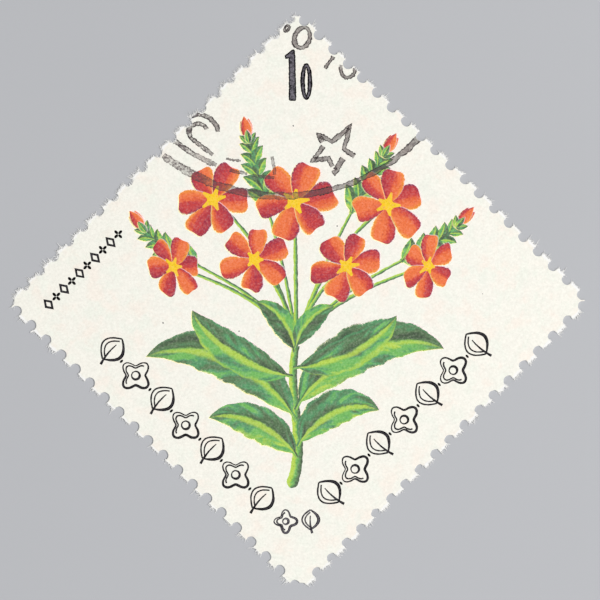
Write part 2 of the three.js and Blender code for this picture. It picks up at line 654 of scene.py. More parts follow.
def oval_arc(centre, wide, tall, start=0.0, end=360.0, turn=0.0, step=STROKE_STEP):
    """Points round an oval of half its width and half its height, or round a stretch of it given
    in degrees. A whole round leaves its last point out."""
    whole = end - start >= 360
    count = max(math.ceil(math.radians(end - start) * max(wide, tall) / step), 6)
    spin = Matrix.Rotation(math.radians(turn), 2)
    row = []
    for number in range(count if whole else count + 1):
        way = heading(start + (end - start) * number / count)
        row.append(centre + spin @ Vector((wide * way.x, tall * way.y)))
    return row


class Film:
    """Flat printed shapes in one bmesh, each on its level, that get their thickness together."""

    # The share of its half width that a rough strip keeps everywhere.
    KEPT = 0.3

    def __init__(self):
        self.bm = bmesh.new()
        layers = self.bm.verts.layers.float
        for name in POINT_VALUES:
            layers.new(name)
        self.along, self.across, self.tone = (layers[name] for name in POINT_VALUES)

    def ribbon(self, line, reach, steps, rows, number, tone=0.0,
               shift=None, rough=0.0, seed=0, lit=1):
        """Adds a strip. line(a) is its middle at a from 0 to 1, reach(a, b) its half width there
        on the side of b, from -1 to 1, and shift(a, b) moves a point ahead. Its long edges
        wander by a rough amount, and lit is the side that faces the light, 1 or -1."""
        draw = random.Random(seed)
        made = bmesh.ops.create_grid(self.bm, x_segments=steps, y_segments=rows, size=0.5)
        for vert in made["verts"]:
            a, b = vert.co.x + 0.5, 2 * vert.co.y
            middle, ahead, mitre = line(a)
            half = reach(a, b)
            if rough and abs(b) > 1 - NEAR and NEAR < a < 1 - NEAR:
                half = max(half + draw.uniform(-rough, rough), self.KEPT * half)
            spot = middle + left_of(ahead) * (half * b * mitre)
            if shift:
                spot += ahead * shift(a, b)
            vert.co = (spot.x, spot.y, level(number))
            vert[self.along], vert[self.across], vert[self.tone] = a, b * lit, tone
        return made["verts"]

    def inked(self, *shape, levels, tone, **more):
        """Adds a strip in full colour on the last of three levels. On the first two lies the
        same shape in yellow and in pink, whose plates are a little out of place."""
        slip = settings().ink.slip
        for number, (way, code) in zip(levels, FRINGES):
            verts = self.ribbon(*shape, number=number, tone=code, **more)
            bmesh.ops.translate(self.bm, vec=(*(heading(way) * slip), 0), verts=verts)
        self.ribbon(*shape, number=levels[-1], tone=tone, **more)

    def patch(self, points, number, tone):
        """Adds a filled shape with the given corners."""
        verts = [self.bm.verts.new((point.x, point.y, level(number))) for point in points]
        for vert in verts:
            vert[self.tone] = tone
        self.bm.faces.new(verts)

    def oval(self, centre, wide, tall, turn, number=LINE_LEVEL, tone=0.0, steps=14):
        """Adds a filled oval, of half its width and half its height."""
        up = heading(90 + turn)

        def line(a):
            return centre - up * (tall * math.cos(math.pi * a)), up, 1.0

        def reach(a, b):
            return wide * max(math.sin(math.pi * a), 0.02)

        self.ribbon(line, reach, steps, 4, number, tone)

    def stroke(self, points, half, closed, number, tone, rough=0.0, seed=0):
        """Adds a drawn line along points. half is half its width, or that as a function of how
        far along it is."""
        runs = len(points) if closed else len(points) - 1

        def reach(a, b):
            return half(a) if callable(half) else half

        self.ribbon(through(points, closed), reach, runs, 2, number, tone, rough=rough, seed=seed)

    def piece(self, name, finish, slot="printing_ink"):
        """Gives the shapes their thickness, down into the paper, and makes them a piece."""
        bm = self.bm
        bmesh.ops.remove_doubles(bm, verts=bm.verts, dist=FILM_SEAM)
        grown = bmesh.ops.extrude_face_region(bm, geom=bm.faces[:])["geom"]
        for item in grown:
            if isinstance(item, bmesh.types.BMVert):
                item.co.z = FILM_FOOT
        bmesh.ops.recalc_face_normals(bm, faces=bm.faces)
        self.order_faces()
        piece = put(bm, name, (finish,))
        piece.visible_shadow = False
        return piece

    def order_faces(self):
        """Sorts the faces by their first corners, because extruding leaves them in any order."""
        count = len(self.bm.verts)
        self.bm.verts.index_update()

        def rank(face):
            first, second, third = (vert.index for vert in face.verts[:3])
            return (first * count + second) * count + third

        self.bm.faces.sort(key=rank)


# ------------------------------------------------------------------------------- the sheet

# How far inside the sheet's reach the torn tips of the teeth lie, in millimetres, and how
# ragged they are. The blunt pins of the upper left row tore the walls of their bites too.
TORN_DEPTH = {"upper_left": 0.60, "lower_right": 0.30, "upper_right": 0.30, "lower_left": 0.30}
RAGGED = {"upper_left": 1.9, "lower_right": 1.5, "upper_right": 1.2, "lower_left": 0.8}

# The rims are softened before they are torn: edges longer than this are cut up, and then the
# corners are smoothed so many times.
LONG_RIM = 0.09 * MM
SMOOTHINGS = 2

# The tear wanders in wide and in narrow waves, this long against how far it wanders. The narrow
# ones are so much weaker.
WIDE_WAVE, NARROW_WAVE = 6, 2.5
NARROW_SHARE = 0.5

# Heights that differ by less than this are one. Only the face and the back of the sheet have
# more corners than this.
FLAT = 1e-6
MANY_CORNERS = 50

# The finishes of the sheet, and their places in its list of materials.
SHEET_FINISHES = ("paper_face", "paper_back", "torn_paper")
FACE, BACK, TORN = range(3)

# Single fibres, bundles of them and flat tufts: least and most half width in millimetres, and
# how long they are against a single fibre. The shares say how many there are of each.
FIBRE_KINDS = [(0.012, 0.022, 1.0), (0.022, 0.040, 1.15), (0.050, 0.090, 0.75)]
FIBRE_SHARES = [56, 34, 12]

# A fibre narrows to this share of its width, starts this far inside the paper, points away by
# about this angle from the straight way out, and stays this far above what the sheet lies on.
FIBRE_TIP = 0.35
FIBRE_ROOT = 0.06 * MM
FIBRE_FAN = 0.6
FIBRE_LOWEST = 0.002 * MM


def merged_sheet():
    """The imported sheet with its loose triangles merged, and its flat faces whole again."""
    bm = bmesh.new()
    bm.from_mesh(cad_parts[NODE].data)
    bmesh.ops.remove_doubles(bm, verts=bm.verts, dist=SHEET_SEAM)
    bmesh.ops.dissolve_limit(bm, angle_limit=math.radians(0.5), verts=bm.verts, edges=bm.edges)
    return bm


class StampOperator(bpy.types.Operator):
    """What the makers below share."""

    bl_options = {"REGISTER", "UNDO"}


class STAMP_OT_sheet(StampOperator):
    """Make the sheet of paper, with its punched bites and torn teeth"""

    bl_idname = "stamp.sheet"
    bl_label = "Paper Sheet"

    def execute(self, context):
        noise.seed_set(NOISE_SEED)
        bm = merged_sheet()
        self.soften(bm)
        self.tear(bm)
        for face in bm.faces:
            face.material_index = TORN
            if abs(face.normal.z) > 0.9 and len(face.verts) > MANY_CORNERS:
                face.material_index = FACE if face.normal.z > 0 else BACK
        bmesh.ops.triangulate(bm, faces=[f for f in bm.faces if len(f.verts) > 4])
        sheet = put(bm, "paper_sheet", SHEET_FINISHES)
        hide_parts(NODE)
        return {"FINISHED"}

    def soften(self, bm):
        """Rounds the outline, which the punch left in straight steps."""
        rims = [e for e in bm.edges if abs(e.verts[0].co.z - e.verts[1].co.z) < FLAT]
        long_rims = [e for e in rims if e.calc_length() > LONG_RIM]
        bmesh.ops.subdivide_edges(bm, edges=long_rims, cuts=2)
        for _ in range(SMOOTHINGS):
            bmesh.ops.smooth_vert(bm, verts=bm.verts, factor=0.5, use_axis_x=True, use_axis_y=True)

    def tear(self, bm):
        """Makes the tips of the teeth ragged, and brings the face down to the paper's top."""
        tear = settings().sheet.tear
        for vert in bm.verts:
            depth, side = depth_inside(vert.co)
            if depth < TORN_DEPTH[side] * MM:
                spot = Vector((vert.co.x, vert.co.y, 0))
                pull = noise.noise_vector(spot / (WIDE_WAVE * tear))
                pull += NARROW_SHARE * noise.noise_vector(spot / (NARROW_WAVE * tear))
                vert.co.x += pull.x * tear * RAGGED[side]
                vert.co.y += pull.y * tear * RAGGED[side]
            if vert.co.z > SHEET_HIGH.z / 2:
                vert.co.z = PAPER_TOP


class STAMP_OT_fibres(StampOperator):
    """Make the loose fibres that stand out of the torn teeth"""

    bl_idname = "stamp.fibres"
    bl_label = "Torn Fibres"

    def execute(self, context):
        source = merged_sheet()
        draw = random.Random(SEEDS["fibres"])
        bm = bmesh.new()
        bmesh.ops.create_cone(bm, cap_ends=True, segments=4, radius1=1, radius2=FIBRE_TIP, depth=1)
        one = bpy.data.meshes.new("one_fibre")
        bm.to_mesh(one)
        bm.clear()
        for edge in source.edges:
            here, there = (vert.co for vert in edge.verts)
            depth, side = depth_inside((here + there) / 2)
            if max(here.z, there.z) >= FLAT or depth > TORN_DEPTH[side] * MM:
                continue
            count = edge.calc_length() / MM * settings().sheet.per_millimetre * RAGGED[side]
            for _ in range(round(count)):
                self.fibre(bm, one, here.lerp(there, draw.random()), DIAGONALS[side], draw)
        source.free()
        bpy.data.meshes.remove(one)
        put(bm, "torn_fibres", ("torn_paper",))
        return {"FINISHED"}

    def fibre(self, bm, one, root, facing, draw):
        """One tapered fibre or tuft, rooted inside the paper and pointing more or less outwards."""
        thin, wide, longer = draw.choices(FIBRE_KINDS, FIBRE_SHARES)[0]
        tuft = max(1 + 1.5 * noise.noise(root / (0.16 * MM)), 0.2)
        reach = settings().sheet.fibre * longer * tuft
        reach = reach * draw.uniform(0.4, 1.5) * draw.random() ** 0.6
        half = draw.uniform(thin, wide) * MM
        turn = math.atan2(facing.y, facing.x) + draw.gauss(0, FIBRE_FAN)
        ahead = Vector((math.cos(turn), math.sin(turn), draw.uniform(-0.10, 0.14))).normalized()
        middle = Vector((root.x, root.y, draw.uniform(0.15, 0.75) * PAPER_TOP))
        middle += ahead * (reach - FIBRE_ROOT) / 2
        pose = ahead.to_track_quat("Z", "Y").to_matrix()
        known = len(bm.verts)
        bm.from_mesh(one)
        bm.verts.ensure_lookup_table()
        for vert in bm.verts[known:]:
            size = Vector((vert.co.x * half, vert.co.y * half, vert.co.z * (reach + FIBRE_ROOT)))
            vert.co = middle + pose @ size
            vert.co.z = min(max(vert.co.z, FIBRE_LOWEST), PAPER_TOP)


# ------------------------------------------------------------------------------- the spray

ROOT = at(-0.75, -15.85)
HUB = at(-0.2, -3.8)
STEM = curve(ROOT, at(0.9, -12.2), at(-1.2, -7.6), HUB)

# Blooms: middle in millimetres, radius, turn in degrees, how far it is foreshortened (1 is
# face on) and the direction of that in degrees, and its rank among those that overlap.
BLOOMS = [
    (-10.6, 2.9, 2.85, 8, 0.78, 200, 0),
    (11.0, 2.9, 2.90, 25, 0.78, -20, 0),
    (-7.2, 8.6, 3.45, 0, 0.88, 150, 1),
    (7.6, 8.1, 3.40, 14, 0.88, 30, 1),
    (-3.7, 3.5, 3.10, 20, 0.94, 230, 0),
    (4.1, 2.9, 3.15, 5, 0.94, -50, 0),
    (-0.3, 8.4, 3.60, 11, 0.97, 90, 2),
]
PETALS = 6
STAMENS = 5

# Leaves of the stem: place on it from foot to hub, tip in millimetres, sag to the left, half
# width, the side that is lit, and rank among those that overlap.
LEAVES = [
    (0.47, (-12.9, -4.7), -2.8, 2.05, 1, 0),
    (0.55, (12.3, -4.1), 2.7, 2.10, -1, 0),
    (0.78, (-9.0, -0.8), 1.0, 1.55, 1, 1),
    (0.84, (8.3, -1.3), -0.9, 1.50, -1, 1),
    (0.22, (-7.6, -9.9), -1.5, 1.55, 1, 2),
    (0.30, (6.8, -9.3), 1.6, 1.60, -1, 2),
    (0.95, (-3.6, -0.1), -0.7, 1.05, -1, 2),
    (0.98, (3.0, -0.5), 0.6, 1.00, 1, 3),
]

# Buds: middle, the direction they point to in degrees, and the bend of their stalks.
BUDS = [((-13.4, 6.5), 128, 2.6), ((-4.3, 14.2), 102, 0.9), ((7.6, 12.9), 60, -1.2),
        ((13.9, 6.8), 48, -2.6)]

# The petals of a bud and the leaves of its cup, the lowest first: how far each is turned from
# the bud's direction in degrees, and its length in millimetres. Then half the width of each
# kind, and how far behind the bud's middle it starts.
BUD_PETALS = [(-17, 1.75), (16, 1.65), (0, 1.95)]
BUD_CUP = [(-42, 1.05), (40, 1.05), (0, 1.15)]
BUD_PETAL_HALF, BUD_CUP_HALF = 0.44, 0.26
BUD_PETAL_FOOT, BUD_CUP_FOOT = 0.5, 0.85

# How wide the stalks are at the foot and at the end, in millimetres.
BUD_STALK, BLOOM_STALK, MAIN_STEM = (0.34, 0.20), (0.44, 0.26), (1.00, 0.62)

# The pairs of small leaves on the stalk of each bud.
SPRIG_PAIRS = 5

# The share of a leaf's length that is its stalk, and about the greatest height of the curve
# that the width of its blade follows.
LEAF_STALK = 0.05
BLADE_HEIGHT = 0.325


def bloom_stalk(x, y):
    """The line from the hub to a bloom, which leaves the hub steeply."""
    away = at(x, y) - HUB
    return curve(HUB, HUB + Vector((away.x * 0.22, away.y * 0.62)), at(x, y))


def bud_stalk(spot, turn, bend):
    """The line from the hub to a bud, which ends in the direction that the bud points to."""
    end = at(*spot) - heading(turn) * 0.6 * MM
    side = heading(turn - 90) * bend * MM
    return curve(HUB, HUB.lerp(end, 0.4) + side, end - heading(turn) * 3.5 * MM, end)


def leaf_line(start, tip, sag):
    """The midrib of a leaf, which arches to its left and then turns down to its tip."""
    side = left_of(tip - start).normalized() * sag
    return curve(start, start.lerp(tip, 0.30) + side * 1.3, start.lerp(tip, 0.78) + side * 1.3, tip)


def leaf_shape(half, teeth, wave):
    """The half width of a leaf: a stalk, then widest a little below its middle and drawn out to
    a point, with a wavy edge."""

    def reach(a, b):
        blade = max(a - LEAF_STALK, 0.0) / (1 - LEAF_STALK)
        body = blade ** 0.75 * (1 - blade) ** 0.95 / BLADE_HEIGHT
        edge = 1 + 0.04 * math.sin(teeth * a * math.tau + 2 * b)
        edge += 0.015 * math.sin(teeth * 2.3 * a * math.tau)
        stalk = 0.16 * MM * (1 - a)
        return max(half * body * edge * (1 + wave * b), stalk, 0.012 * MM)

    return reach


def leaf_levels(rank):
    """The levels of a leaf's three plates. Its fringes lie under all the stems."""
    return LEAF_FRINGES + rank, LEAF_FRINGES + LEAF_RANKS + rank, LEAF_LEVEL + rank


class STAMP_OT_stems(StampOperator):
    """Print the stems of the spray"""

    bl_idname = "stamp.stems"
    bl_label = "Printed Stems"

    def execute(self, context):
        film = Film()
        stalks = [(bud_stalk(*bud), BUD_STALK) for bud in BUDS]
        stalks += [(bloom_stalk(x, y), BLOOM_STALK) for x, y, *_ in BLOOMS]
        stalks.append((STEM, MAIN_STEM))
        for number, (line, widths) in enumerate(stalks, STEM_LEVEL):
            self.stalk(film, line, *widths, number)
        film.piece("spray_stems", "stem_ink")
        return {"FINISHED"}

    def stalk(self, film, line, wide, narrow, number):
        """One stalk with a rounded foot that tapers from wide to narrow, in millimetres."""

        def reach(a, b):
            foot = min(max(a, 0.001) / 0.03, 1) ** 0.5
            return foot * (wide + (narrow - wide) * a) / 2 * MM

        film.ribbon(line, reach, 60, 4, number, rough=settings().ink.notch, seed=number)


class STAMP_OT_leaves(StampOperator):
    """Print the leaves of the stem"""

    bl_idname = "stamp.leaves"
    bl_label = "Printed Leaves"

    def execute(self, context):
        film = Film()
        draw = random.Random(SEEDS["leaves"])
        for place, (a, tip, sag, half, lit, rank) in enumerate(LEAVES):
            film.inked(
                leaf_line(STEM(a)[0], at(*tip), sag * MM),
                leaf_shape(half * MM, 4 + half, draw.uniform(-0.12, 0.12)), 90, 8,
                levels=leaf_levels(rank), tone=draw.random(),
                rough=settings().ink.notch * 0.3, seed=place, lit=lit,
            )
        film.piece("spray_leaves", "leaf_ink")
        return {"FINISHED"}


class STAMP_OT_sprigs(StampOperator):
    """Print the small leaves in pairs along the stalks of the buds"""

    bl_idname = "stamp.sprigs"
    bl_label = "Printed Sprigs"

    def execute(self, context):
        film = Film()
        draw = random.Random(SEEDS["sprigs"])
        for bud in BUDS:
            line = bud_stalk(*bud)
            for pair in range(SPRIG_PAIRS):
                start, ahead, _ = line(0.60 + 0.075 * pair)
                for side in (-1, 1):
                    way = Matrix.Rotation(side * math.radians(38), 2) @ ahead
                    size = (2.3 - 0.22 * pair) * draw.uniform(0.9, 1.1) * MM
                    rank = (side > 0) + 2 * (pair % 2)
                    film.inked(
                        bow(start, start + way * size, side * -0.12 * size),
                        leaf_shape(0.26 * size, 1, 0.0), 24, 4, levels=leaf_levels(rank),
                        tone=draw.random(), rough=0.02 * MM, seed=pair, lit=side,
                    )
        film.piece("spray_sprigs", "leaf_ink")
        return {"FINISHED"}


class STAMP_OT_blooms(StampOperator):
    """Print the blooms of the spray, with their petals and eyes"""

    bl_idname = "stamp.blooms"
    bl_label = "Printed Blooms"

    def execute(self, context):
        for place, (x, y, radius, turn, short, nod, rank) in enumerate(BLOOMS):
            film, eye = Film(), Film()
            draw = random.Random(SEEDS["blooms"] + place)
            base = BLOOM_LEVEL + BLOOM_LEVELS * rank
            for petal in range(PETALS):
                angle = turn + 360 * petal / PETALS + draw.uniform(-4, 4)
                size = radius * MM * draw.uniform(0.92, 1.06)
                self.petal(film, angle, size, base + PLATES * (petal % 2), draw)
            self.eye(eye, radius * MM, base + PLATES * 2, draw)
            tilt = Matrix.Rotation(math.radians(nod), 4, "Z")
            pose = Matrix.Translation((x * MM, y * MM, 0)) @ tilt
            pose = pose @ Matrix.Diagonal((short, 1, 1, 1)) @ tilt.inverted()
            for part in (film, eye):
                bmesh.ops.transform(part.bm, matrix=pose, verts=part.bm.verts)
            film.piece(f"bloom_petals_{place + 1}", "petal_ink")
            eye.piece(f"bloom_eye_{place + 1}", "eye_ink")
        return {"FINISHED"}

    def petal(self, film, angle, size, number, draw):
        """One petal: widest near its end, with a shallow notch in its tip."""
        tip = heading(angle) * size
        middle = bow(tip * 0.06, tip, size * draw.uniform(-0.05, 0.05))
        half = size * 0.43 * draw.uniform(0.88, 1.06)
        notch = size * draw.uniform(0.03, 0.12)
        phase = draw.uniform(0, math.tau)

        def along(a):
            return (1 - math.cos(math.pi * a)) / 2

        def reach(a, b):
            body = math.sin(math.pi * a) ** 0.85 * (0.30 + 0.70 * along(a) ** 0.8)
            wave = 1 + 0.05 * math.sin(9 * a + phase + 2 * b)
            return max(half * body * wave, 0.01 * MM)

        def dent(a, b):
            away = math.sin(math.pi * a) * b / 0.42
            return -notch * max(0.0, (along(a) - 0.6) / 0.4) * math.exp(-away * away)

        film.inked(lambda a: middle(along(a)), reach, 40, 8, levels=range(number, number + PLATES),
                   tone=draw.random(), shift=dent, rough=settings().ink.notch * 0.8,
                   seed=draw.randrange(999))

    def eye(self, film, radius, number, draw):
        """The yellow middle of a bloom, with its stamens."""
        film.oval(Vector((0, 0)), radius * 0.17, radius * 0.15, 0.0, number)
        for place in range(STAMENS):
            way = heading(360 / STAMENS * place + draw.uniform(-12, 12))
            tip = way * radius * draw.uniform(0.24, 0.36)
            film.ribbon(curve(way * radius * 0.08, tip), lambda a, b: radius * (0.085 - 0.055 * a),
                        4, 2, number + 1, draw.uniform(0.0, 0.5))


class STAMP_OT_buds(StampOperator):
    """Print the buds of the spray"""

    bl_idname = "stamp.buds"
    bl_label = "Printed Buds"

    def execute(self, context):
        petals, cups = Film(), Film()
        draw = random.Random(SEEDS["buds"])
        for spot, facing, _ in BUDS:
            for place, (turn, size) in enumerate(BUD_PETALS):
                way = heading(facing + turn)
                foot = at(*spot) - way * BUD_PETAL_FOOT * MM
                self.leaflet(petals, foot, way, size, BUD_PETAL_HALF,
                             BLOOM_LEVEL + PLATES * place, draw)
            foot = at(*spot) - heading(facing) * BUD_CUP_FOOT * MM
            for place, (turn, size) in enumerate(BUD_CUP):
                self.leaflet(cups, foot, heading(facing + turn), size, BUD_CUP_HALF,
                             BLOOM_LEVEL + BLOOM_LEVELS + PLATES * place, draw)
        petals.piece("bud_petals", "petal_ink")
        cups.piece("bud_cups", "leaf_ink")
        return {"FINISHED"}

    def leaflet(self, film, start, way, size, half, number, draw):
        """One pointed leaflet of a bud, in millimetres long and half wide."""

        def reach(a, b):
            return max(half * MM * math.sin(math.pi * a ** 0.8) ** 0.8, 0.01 * MM)

        film.inked(curve(start, start + way * size * MM), reach, 24, 6,
                   levels=range(number, number + PLATES), tone=draw.random(),
                   rough=0.015 * MM, seed=number)


# ------------------------------------------------------------------------------- line work

# The bands of ornaments: how far out their middles lie, from where to where along the side,
# and how far they are turned.
BANDS = {"lower_left": (14.22, -8.3, 9.6, -45), "lower_right": (13.46, -9.7, 8.0, 45)}
BAND_COUNT = 7
BAND_HEIGHT = 2.75

# The runs in a bowed line of an ornament.
BOW_RUNS = 22


class Pen:
    """Draws line work upright, and puts it down turned and moved to one place. Its tone is how
    grey the middle of a wide line is."""

    def __init__(self, film, centre, turn, seed, tone=0.25):
        self.film = film
        self.tone = tone
        self.centre = centre
        self.spin = Matrix.Rotation(math.radians(turn), 2)
        self.thin = settings().ink.line
        self.seed = seed

    def placed(self, points):
        return [self.centre + self.spin @ point for point in points]

    def stroke(self, points, weight, closed=False, number=0):
        """A line of weight times the thin line's width, which may vary along it."""
        half = (lambda a: weight(a) * self.thin) if callable(weight) else weight * self.thin
        self.film.stroke(self.placed(points), half, closed, LINE_LEVEL + number, self.tone,
                         0.14 * self.thin, self.seed)


def along_bow(start, end, sag):
    """Points on a curve from start to end that swells to its left by sag."""
    line = bow(start, end, sag)
    return [line(number / BOW_RUNS)[0] for number in range(BOW_RUNS + 1)]


def leaf_ornament(pen, tall):
    """A pointed leaf of two lines on its left and one strong one on its right, whose midrib runs
    down into a curved stalk."""
    top, foot, ground = (Vector((0, tall * share)) for share in (0.50, -0.36, -0.52))
    pen.stroke(along_bow(foot, top, tall * 0.36), 0.95)
    pen.stroke(along_bow(foot.lerp(top, 0.12), foot.lerp(top, 0.88), tall * 0.23), 0.85)
    right = along_bow(top, foot, tall * 0.36)
    pen.stroke(right, lambda a: 0.85 + 1.1 * math.sin(math.pi * a), number=1)
    stalk = along_bow(ground + Vector((tall * 0.08, 0)), top * 0.5, tall * 0.04)
    pen.stroke(stalk, lambda a: 1.5 - 0.9 * a, number=2)


def rosette_ornament(pen, tall):
    """A four-lobed rosette of two lines on its left and one strong one on its right."""
    radius = tall * 0.50

    def lobes(share, start, end, count):
        row = []
        for number in range(count + (end - start < 360)):
            turn = start + (end - start) * number / count
            bulge = 0.80 + 0.20 * math.cos(math.radians(4 * turn))
            row.append(heading(turn) * radius * share * bulge)
        return row

    pen.stroke(lobes(1.0, 0, 360, 72), lambda a: 1.15 + 0.45 * math.cos(math.tau * a + 0.6), True)
    pen.stroke(lobes(0.76, 92, 268, 36), 0.9)
    pen.stroke(oval_arc(Vector((0, 0)), radius * 0.25, radius * 0.25, step=0.10 * MM),
               lambda a: 1.1 + 0.4 * math.cos(math.tau * a), True)


ORNAMENTS = (leaf_ornament, rosette_ornament)

# The pair between the bands: each ornament and its middle, and how tall both are.
PAIR = ((rosette_ornament, (-1.15, -18.7)), (leaf_ornament, (0.95, -18.7)))
PAIR_HEIGHT = 1.95


class STAMP_OT_borders(StampOperator):
    """Print the two bands of engraved ornaments and the pair between them"""

    bl_idname = "stamp.borders"
    bl_label = "Border Ornaments"

    def execute(self, context):
        for side, (out, first, last, turn) in BANDS.items():
            film = Film()
            pitch = (last - first) / (BAND_COUNT - 1)
            for place in range(BAND_COUNT):
                pen = Pen(film, on_band(out, first + pitch * place, side), turn, place)
                ORNAMENTS[place % 2](pen, BAND_HEIGHT * MM)
            for place in range(BAND_COUNT - 1):
                between = place + (0.57 if place % 2 else 0.43)
                film.oval(on_band(out, first + pitch * between, side), 0.10 * MM, 0.17 * MM, turn)
            film.piece(f"ornaments_{side}", "line_ink")
        film = Film()
        for seed, (ornament, middle) in enumerate(PAIR, 20):
            ornament(Pen(film, at(*middle), 0, seed, 1.0), PAIR_HEIGHT * MM)
        film.piece("ornament_pair", "line_ink")
        return {"FINISHED"}


# The small marks: how many, how far out they lie, where along the side the first one is, and
# how far apart they are. Diamonds and quatrefoils take turns. The corners of a diamond.
CAPTION_COUNT = 10
CAPTION_OUT, CAPTION_START, CAPTION_PITCH = 14.8, 15.15, 0.93
DIAMOND = [(0, 0.46), (-0.31, 0), (0, -0.46), (0.31, 0)]


class STAMP_OT_caption(StampOperator):
    """Print the short row of small marks along the upper left side"""

    bl_idname = "stamp.caption"
    bl_label = "Small Marks"

    def execute(self, context):
        film = Film()
        for place in range(CAPTION_COUNT):
            spot = on_band(CAPTION_OUT, CAPTION_START - CAPTION_PITCH * place, "upper_left")
            pen = Pen(film, spot, 45, place)
            if place % 2:
                for turn in (0, 90, 180, 270):
                    lobe = pen.placed([heading(turn) * 0.24 * MM])[0]
                    film.oval(lobe, 0.12 * MM, 0.20 * MM, turn - 45, LINE_LEVEL + turn // 90)
            else:
                pen.stroke([Vector(corner) * MM for corner in DIAMOND], 1.3, True)
        film.piece("caption_marks", "line_ink")
        return {"FINISHED"}


# The outline of the numeral's one, in millimetres, counter-clockwise from its foot.
ONE = [(-0.72, 17.05), (-0.66, 16.98), (-0.24, 16.98), (-0.18, 17.05), (-0.27, 21.10),
       (-0.36, 21.24), (-0.48, 21.22), (-1.05, 20.74), (-1.00, 20.56), (-0.72, 20.58)]

# Its nought: the middle, half the width and half the height as its line's middle runs, and half
# the line's width.
NOUGHT = ((0.72, 18.56), 0.31, 1.36, 0.15)

# Its dark edges: half their width, and how rough they are.
NUMERAL_EDGE = (0.052, 0.022)


class STAMP_OT_value(StampOperator):
    """Print the numeral at the top of the stamp"""

    bl_idname = "stamp.value"
    bl_label = "Value Numeral"

    def execute(self, context):
        film = Film()
        edge, rough = (size * MM for size in NUMERAL_EDGE)
        one = dense([at(*place) for place in ONE], True)
        film.patch(one, LINE_LEVEL, 1.0)
        film.stroke(one, edge, True, LINE_LEVEL + 1, 0.0, rough, 3)
        middle, *sizes = NOUGHT
        wide, tall, pen = (size * MM for size in sizes)
        film.stroke(oval_arc(at(*middle), wide, tall), pen, True, LINE_LEVEL, 1.0)
        for number, grow in enumerate((pen, -pen)):
            rim = oval_arc(at(*middle), wide + grow, tall + grow)
            film.stroke(rim, edge, True, LINE_LEVEL + 1 + number, 0.0, rough, 4 + number)
        film.piece("value_numeral", "line_ink")
        return {"FINISHED"}


# The small rings of the postmark: middle in millimetres, half width and half height, the
# stretch that is drawn, the turn, and half the line's width. Its bars: ends, and half the width.
MARKS = [
    (0.38, 22.27, 0.66, 0.88, 0, 360, -22, 0.18),
    (4.22, 19.62, 0.60, 0.76, 155, 368, 0, 0.14),
    (-0.92, 23.06, 0.15, 0.28, 0, 360, -30, 0.10),
    (-8.45, 14.12, 1.68, 1.68, 6, 116, 0, 0.18),
    (-8.47, 14.32, 0.79, 0.70, 20, 218, 0, 0.17),
]
BARS = [
    ((3.00, 20.70), (2.31, 19.69), 0.14),
    ((-9.15, 13.88), (-7.20, 12.35), 0.17),
    ((-6.12, 12.04), (-4.88, 11.86), 0.08),
    ((-2.20, 12.25), (-2.00, 10.70), 0.11),
]

# The rings of the postmark: their middle, the stretch of the outer one that is on the stamp, in
# degrees, how far inside it the inner one runs, and the stretches of that which took ink, each
# with half its width.
RING_MIDDLE = (-1.37, 25.16)
OUTER_STRETCH = (-128.2, -43.8)
RING_GAP = 1.55
INNER_STRETCHES = [(-128.8, -112, 0.20), (-107.5, -101.5, 0.12), (-100.0, -92.6, 0.13)]

# The star of the postmark: its middle, the direction and reach of its corners, points and
# notches in turn, and the stretches that took ink. A stretch is given by the corners that it
# passes, counted round from the first, and half its width.
STAR = (3.08, 12.69)
STAR_CORNERS = [(57, 2.45), (102, 0.78), (135, 1.90), (148, 1.03), (205, 2.00), (231, 0.80),
                (271, 1.74), (320, 1.00), (343, 1.95), (9, 0.80)]
STAR_STRETCHES = [((2.75, 2, 1, 0, 9, 8.15), 0.20), ((3.1, 4, 5, 5.62), 0.18),
                  ((5.85, 6, 7), 0.25)]

# A stamped line is unsteady. Its width swells by this share, over about this distance, and the
# line is shaken this far, over about this distance. Its ink spreads past it, and has a rough
# edge. All but the share are in millimetres.
SWELL, SWELL_WAVE = 0.35, 0.6
SHAKE, SHAKE_WAVE = 0.07, 0.9
INK_SPREAD = 0.03
INK_ROUGH = 0.035

# The cuts in each edge of the ink that crosses the edge of the paper.
TRIM_CUTS = 4


